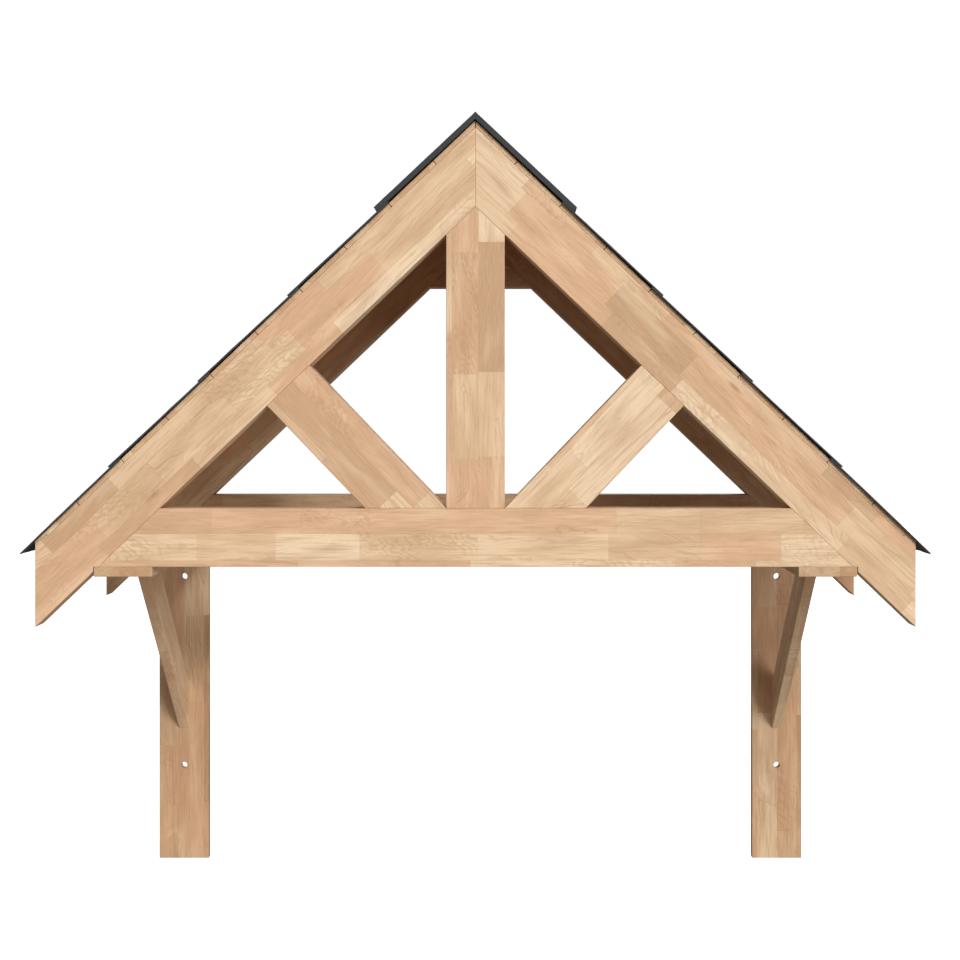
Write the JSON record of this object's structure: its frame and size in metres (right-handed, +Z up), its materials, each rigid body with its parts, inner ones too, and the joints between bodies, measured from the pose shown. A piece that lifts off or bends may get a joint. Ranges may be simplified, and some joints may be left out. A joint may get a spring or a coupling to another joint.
{
  "type": "porch canopy",
  "caption": "Open-gable wall-hung porch canopy in laminated oak, with braced gable trusses, gallows brackets, roof boards, slate-effect tiles and a ridge cap.",
  "frame": {"origin": "the middle of the rear tie beam's back face, on the wall", "axes": "+X along the wall to the viewer's right, +Y into the wall, +Z up; the front truss faces -Y"},
  "size_m": [1.4764, 0.487, 1.344],
  "materials": {
    "oak_front": "planed, unfinished",
    "oak_rear": "planed, unfinished",
    "oak_bracket": "planed, unfinished",
    "oak_board": "planed, unfinished",
    "slate_tile": "riven, matt",
    "ridge_slate": "riven, matt"
  },
  "bodies": {
    "root": {"front_rafter_left": "oak_front", "front_rafter_right": "oak_front", "front_tie_beam": "oak_front", "king_post": "oak_front", "front_strut_left": "oak_front", "front_strut_right": "oak_front", "rear_rafter_left": "oak_rear", "rear_rafter_right": "oak_rear", "rear_tie_beam": "oak_rear", "rear_apex_block": "oak_rear", "bracket_arm_left": "oak_bracket", "bracket_arm_right": "oak_bracket", "wall_leg_left": "oak_bracket", "wall_leg_right": "oak_bracket", "brace_left": "oak_bracket", "brace_right": "oak_bracket", "roof_boards_left": "oak_board", "roof_boards_right": "oak_board", "tile_course_1_left": "slate_tile", "tile_course_2_left": "slate_tile", "tile_course_3_left": "slate_tile", "tile_course_4_left": "slate_tile", "tile_course_1_right": "slate_tile", "tile_course_2_right": "slate_tile", "tile_course_3_right": "slate_tile", "tile_course_4_right": "slate_tile", "ridge_cap": "ridge_slate"}
  },
  "joints": []
}
